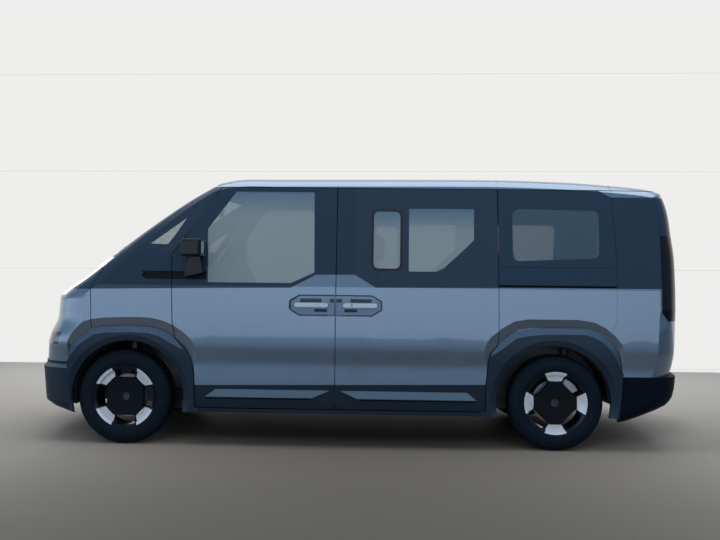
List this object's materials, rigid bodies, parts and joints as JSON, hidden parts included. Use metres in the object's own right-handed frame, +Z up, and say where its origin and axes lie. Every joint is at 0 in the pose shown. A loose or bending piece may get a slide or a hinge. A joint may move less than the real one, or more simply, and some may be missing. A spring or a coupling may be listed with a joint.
{
  "type": "electric people van",
  "caption": "One-box electric van with hinged front doors, side doors on rails, top-hinged tailgate, bonnet, steered front wheels and fitted cabin.",
  "frame": {"origin": "on the ground, below the middle of the vehicle's bounding box", "axes": "+X towards the nose, +Y to the vehicle's left side, +Z up"},
  "size_m": [4.695, 2.234, 1.9047],
  "materials": {
    "silver": "satin metallic",
    "black_gloss": "gloss",
    "cladding": "matt",
    "trim_black": "matt",
    "glass_tint": "clear tinted",
    "glass_clear": "clear",
    "lamp_white": "gloss",
    "lamp_red": "gloss",
    "tyre": "matt",
    "rim": "gloss black with bright machined areas",
    "steel": "satin",
    "cast": "rough cast",
    "alloy": "as cast",
    "battery": "satin",
    "dash": "grained",
    "fabric": "woven"
  },
  "bodies": {
    "front_door_left": {"front_door_left": "silver", "front_door_window_left": "glass_tint", "door_mirror_left": "black_gloss"},
    "front_door_right": {"front_door_right": "silver", "front_door_window_right": "glass_tint", "door_mirror_right": "black_gloss"},
    "tailgate": {"tailgate": "silver", "tailgate_window": "glass_tint"},
    "bonnet": {"bonnet": "silver"},
    "front_knuckle_left": {"front_knuckle_left": "cast"},
    "front_knuckle_right": {"front_knuckle_right": "cast"},
    "front_wheel_left": {"tyre_front_left": "tyre", "wheel_front_left": "rim"},
    "front_wheel_right": {"tyre_front_right": "tyre", "wheel_front_right": "rim"},
    "rear_wheel_left": {"tyre_rear_left": "tyre", "wheel_rear_left": "rim"},
    "rear_wheel_right": {"tyre_rear_right": "tyre", "wheel_rear_right": "rim"},
    "steering_wheel": {"steering_wheel": "trim_black"},
    "body": {"a_pillars": "black_gloss", "arch_cladding": "cladding", "battery_pack": "battery", "bulkhead": "steel", "cabin_mirror": "trim_black", "cowl_panel": "trim_black", "dashboard": "dash", "drive_unit": "alloy", "floor_pan": "steel", "front_bumper": "silver", "front_fenders": "silver", "front_grille": "trim_black", "front_lower_arms": "cast", "front_seat_backs": "fabric", "front_seat_bases": "dash", "front_seat_cushions": "fabric", "front_struts": "steel", "front_subframe": "steel", "front_valance": "cladding", "headlamps": "lamp_white", "light_strips": "lamp_white", "rear_axle": "cast", "rear_bench_back": "fabric", "rear_bench_base": "dash", "rear_bench_cushion": "fabric", "rear_bumper": "cladding", "rear_quarter_windows": "glass_tint", "roof_panel": "silver", "side_frames": "silver", "sliding_door_windows": "glass_tint", "sliding_doors": "silver", "steering_column": "trim_black", "tail_lamps": "lamp_red", "vent_windows": "glass_tint", "window_seals": "trim_black", "windscreen": "glass_clear", "wipers": "trim_black"}
  },
  "joints": [
    {"name": "front_left_steer", "type": "hinge", "parent": "body", "child": "front_knuckle_left", "pos_m": [1.5875, 0.748, 0.33], "axis": [0, 0, 1], "range_deg": [-35, 35]},
    {"name": "front_right_steer", "type": "hinge", "parent": "body", "child": "front_knuckle_right", "pos_m": [1.5875, -0.748, 0.33], "axis": [0, 0, 1], "range_deg": [-35, 35]},
    {"name": "steering_wheel_turn", "type": "hinge", "parent": "body", "child": "steering_wheel", "pos_m": [0.7875, 0.39, 1.15], "axis": [-0.8829, 0, 0.4695], "range_deg": [-490, 490]},
    {"name": "front_left_spin", "type": "hinge", "parent": "front_knuckle_left", "child": "front_wheel_left", "pos_m": [1.5875, 0.81, 0.33], "axis": [0, 1, 0], "continuous": true},
    {"name": "front_right_spin", "type": "hinge", "parent": "front_knuckle_right", "child": "front_wheel_right", "pos_m": [1.5875, -0.81, 0.33], "axis": [0, 1, 0], "continuous": true},
    {"name": "rear_left_spin", "type": "hinge", "parent": "body", "child": "rear_wheel_left", "pos_m": [-1.4075, 0.81, 0.33], "axis": [0, 1, 0], "continuous": true},
    {"name": "rear_right_spin", "type": "hinge", "parent": "body", "child": "rear_wheel_right", "pos_m": [-1.4075, -0.81, 0.33], "axis": [0, 1, 0], "continuous": true},
    {"name": "front_left_door_swing", "type": "hinge", "parent": "body", "child": "front_door_left", "pos_m": [1.231, 0.939, 1], "axis": [0, 0, -1], "range_deg": [0, 68]},
    {"name": "front_right_door_swing", "type": "hinge", "parent": "body", "child": "front_door_right", "pos_m": [1.231, -0.939, 1], "axis": [0, 0, 1], "range_deg": [0, 68]},
    {"name": "tailgate_lift", "type": "hinge", "parent": "body", "child": "tailgate", "pos_m": [-2.0975, 0, 1.841], "axis": [0, 1, 0], "range_deg": [0, 80]},
    {"name": "bonnet_lift", "type": "hinge", "parent": "body", "child": "bonnet", "pos_m": [1.7835, 0, 1.339], "axis": [0, -1, 0], "range_deg": [0, 48]}
  ],
  "couplings": [
    {"joint": "front_right_steer", "follows": "front_left_steer", "ratio": 1},
    {"joint": "steering_wheel_turn", "follows": "front_left_steer", "ratio": 14}
  ]
}
